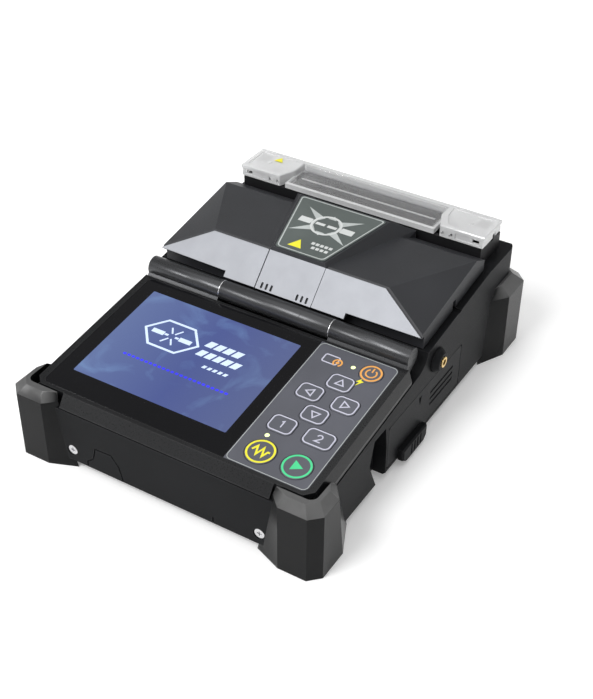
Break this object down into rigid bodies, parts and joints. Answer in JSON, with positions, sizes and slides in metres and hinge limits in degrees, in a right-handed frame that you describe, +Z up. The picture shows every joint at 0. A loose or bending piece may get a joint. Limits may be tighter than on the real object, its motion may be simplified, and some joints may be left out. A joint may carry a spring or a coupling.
{
  "type": "fibre fusion splicer",
  "caption": "Handheld fibre fusion splicer with tilting monitor, hinged wind cover, clear heater lid and removable battery.",
  "frame": {"origin": "on the ground under the middle of the case", "axes": "+X operator's right, +Y away from the operator, +Z up"},
  "size_m": [0.137, 0.1766, 0.0631],
  "materials": {
    "case_plastic": "fine spark-eroded texture, satin black",
    "bumper_rubber": "overmoulded matt black elastomer",
    "screw_steel": "nickel plated",
    "insert_brass": "machined, threaded",
    "circuit_board": "solder mask",
    "potting": "potted epoxy block",
    "socket_plastic": "moulded",
    "socket_steel": "tinned shell",
    "battery_plastic": "satin black",
    "flap_rubber": "matt elastomer",
    "monitor_plastic": "semi-gloss black",
    "display_glass": "glossy black-printed window over a lit display",
    "keypad_film": "textured grey film",
    "lcd_steel": "stamped frame",
    "light_pipe": "lit acrylic",
    "pin_steel": "ground steel",
    "heater_plastic": "satin black, heat resistant",
    "trough_aluminium": "dark anodised with bright rims",
    "ceramic": "alumina",
    "clear_lid": "clear polycarbonate",
    "lid_pads": "translucent white",
    "cover_plastic": "satin dark grey",
    "nameplate": "satin anodised grey-green",
    "silver_trim": "fine metallic silver",
    "clamp_steel": "satin",
    "stage_aluminium": "bead blasted, anodised",
    "electrode_steel": "ground tungsten",
    "lens_barrel": "black anodised",
    "motor_steel": "satin can",
    "key_plastic": "textured grey cap",
    "power_key": "orange ring",
    "heat_key": "yellow ring",
    "start_key": "green ring"
  },
  "bodies": {
    "base": {"lower_case": "case_plastic", "upper_case": "case_plastic", "front_left_bumper": "bumper_rubber", "front_right_bumper": "bumper_rubber", "rear_left_bumper": "bumper_rubber", "rear_right_bumper": "bumper_rubber", "bumper_screws": "screw_steel", "case_screws": "screw_steel", "strap_posts": "case_plastic", "strap_post_inserts": "insert_brass", "main_board": "circuit_board", "power_board": "circuit_board", "arc_transformer": "potting", "power_jack": "socket_plastic", "usb_socket": "socket_steel", "battery_terminals": "socket_plastic", "hinge_barrel": "monitor_plastic", "hinge_pins": "pin_steel", "heater_housing": "heater_plastic", "heater_trough": "trough_aluminium", "heater_element": "ceramic", "splice_stage": "stage_aluminium", "v_groove_chip": "ceramic", "electrodes": "electrode_steel", "electrode_caps": "stage_aluminium", "objective_lenses": "lens_barrel", "feed_motors": "motor_steel", "lead_screws": "pin_steel"},
    "battery": {"battery_pack": "battery_plastic"},
    "latch": {"battery_latch": "case_plastic"},
    "ports": {"port_cover": "flap_rubber"},
    "monitor": {"monitor_bezel": "monitor_plastic", "monitor_back_shell": "monitor_plastic", "display_glass": "display_glass", "keypad_overlay": "keypad_film", "lcd_module": "lcd_steel", "keypad_board": "circuit_board", "status_lights": "light_pipe"},
    "cover": {"wind_cover_shell": "cover_plastic", "cover_spine": "cover_plastic", "cover_nameplate": "nameplate", "left_trim": "silver_trim", "right_trim": "silver_trim", "centre_trim": "silver_trim", "fibre_clamp_arms": "clamp_steel"},
    "lid": {"heater_lid": "clear_lid", "heater_lid_clamps": "lid_pads"},
    "left_carriage": {"left_fibre_carriage": "stage_aluminium"},
    "right_carriage": {"right_fibre_carriage": "stage_aluminium"},
    "left_clamp": {"left_sheath_clamp": "clamp_steel"},
    "right_clamp": {"right_sheath_clamp": "clamp_steel"},
    "key_power_body": {"key_power": "power_key"},
    "key_up_body": {"key_up": "key_plastic"},
    "key_left_body": {"key_left": "key_plastic"},
    "key_right_body": {"key_right": "key_plastic"},
    "key_down_body": {"key_down": "key_plastic"},
    "key_f1_body": {"key_f1": "key_plastic"},
    "key_f2_body": {"key_f2": "key_plastic"},
    "key_heat_body": {"key_heat": "heat_key"},
    "key_start_body": {"key_start": "start_key"}
  },
  "joints": [
    {"name": "monitor_tilt", "type": "hinge", "parent": "base", "child": "monitor", "pos_m": [0, -0.0052, 0.043], "axis": [-1, 0, 0], "range_deg": [0, 120]},
    {"name": "wind_cover_open", "type": "hinge", "parent": "base", "child": "cover", "pos_m": [0, 0.0545, 0.0565], "axis": [-1, 0, 0], "range_deg": [0, 75]},
    {"name": "heater_lid_open", "type": "hinge", "parent": "base", "child": "lid", "pos_m": [0, 0.0775, 0.057], "axis": [-1, 0, 0], "range_deg": [0, 100]},
    {"name": "battery_slide", "type": "slide", "parent": "base", "child": "battery", "axis": [1, 0, 0], "range_m": [0, 0.11]},
    {"name": "battery_latch_slide", "type": "slide", "parent": "battery", "child": "latch", "axis": [0, 1, 0], "range_m": [0, 0.004], "stiffness_N_per_m": 250},
    {"name": "port_cover_open", "type": "hinge", "parent": "base", "child": "ports", "pos_m": [0, 0.0839, 0.0064], "axis": [-1, 0, 0], "range_deg": [0, 90]},
    {"name": "left_feed", "type": "slide", "parent": "base", "child": "left_carriage", "axis": [1, 0, 0], "range_m": [-0.0015, 0.0015]},
    {"name": "right_feed", "type": "slide", "parent": "base", "child": "right_carriage", "axis": [1, 0, 0], "range_m": [-0.0015, 0.0015]},
    {"name": "left_clamp_open", "type": "hinge", "parent": "left_carriage", "child": "left_clamp", "pos_m": [-0.0378, 0.0405, 0.047], "axis": [-1, 0, 0], "range_deg": [0, 75]},
    {"name": "right_clamp_open", "type": "hinge", "parent": "right_carriage", "child": "right_clamp", "pos_m": [0.0378, 0.0405, 0.047], "axis": [-1, 0, 0], "range_deg": [0, 75]},
    {"name": "key_power_press", "type": "slide", "parent": "monitor", "child": "key_power_body", "axis": [0, 0.1132, -0.9936], "range_m": [0, 0.00045], "stiffness_N_per_m": 1500},
    {"name": "key_up_press", "type": "slide", "parent": "monitor", "child": "key_up_body", "axis": [0, 0.1132, -0.9936], "range_m": [0, 0.00045], "stiffness_N_per_m": 1500},
    {"name": "key_left_press", "type": "slide", "parent": "monitor", "child": "key_left_body", "axis": [0, 0.1132, -0.9936], "range_m": [0, 0.00045], "stiffness_N_per_m": 1500},
    {"name": "key_right_press", "type": "slide", "parent": "monitor", "child": "key_right_body", "axis": [0, 0.1132, -0.9936], "range_m": [0, 0.00045], "stiffness_N_per_m": 1500},
    {"name": "key_down_press", "type": "slide", "parent": "monitor", "child": "key_down_body", "axis": [0, 0.1132, -0.9936], "range_m": [0, 0.00045], "stiffness_N_per_m": 1500},
    {"name": "key_f1_press", "type": "slide", "parent": "monitor", "child": "key_f1_body", "axis": [0, 0.1132, -0.9936], "range_m": [0, 0.00045], "stiffness_N_per_m": 1500},
    {"name": "key_f2_press", "type": "slide", "parent": "monitor", "child": "key_f2_body", "axis": [0, 0.1132, -0.9936], "range_m": [0, 0.00045], "stiffness_N_per_m": 1500},
    {"name": "key_heat_press", "type": "slide", "parent": "monitor", "child": "key_heat_body", "axis": [0, 0.1132, -0.9936], "range_m": [0, 0.00045], "stiffness_N_per_m": 1500},
    {"name": "key_start_press", "type": "slide", "parent": "monitor", "child": "key_start_body", "axis": [0, 0.1132, -0.9936], "range_m": [0, 0.00045], "stiffness_N_per_m": 1500}
  ],
  "couplings": [
    {"joint": "left_clamp_open", "follows": "wind_cover_open", "ratio": 1},
    {"joint": "right_clamp_open", "follows": "wind_cover_open", "ratio": 1}
  ]
}
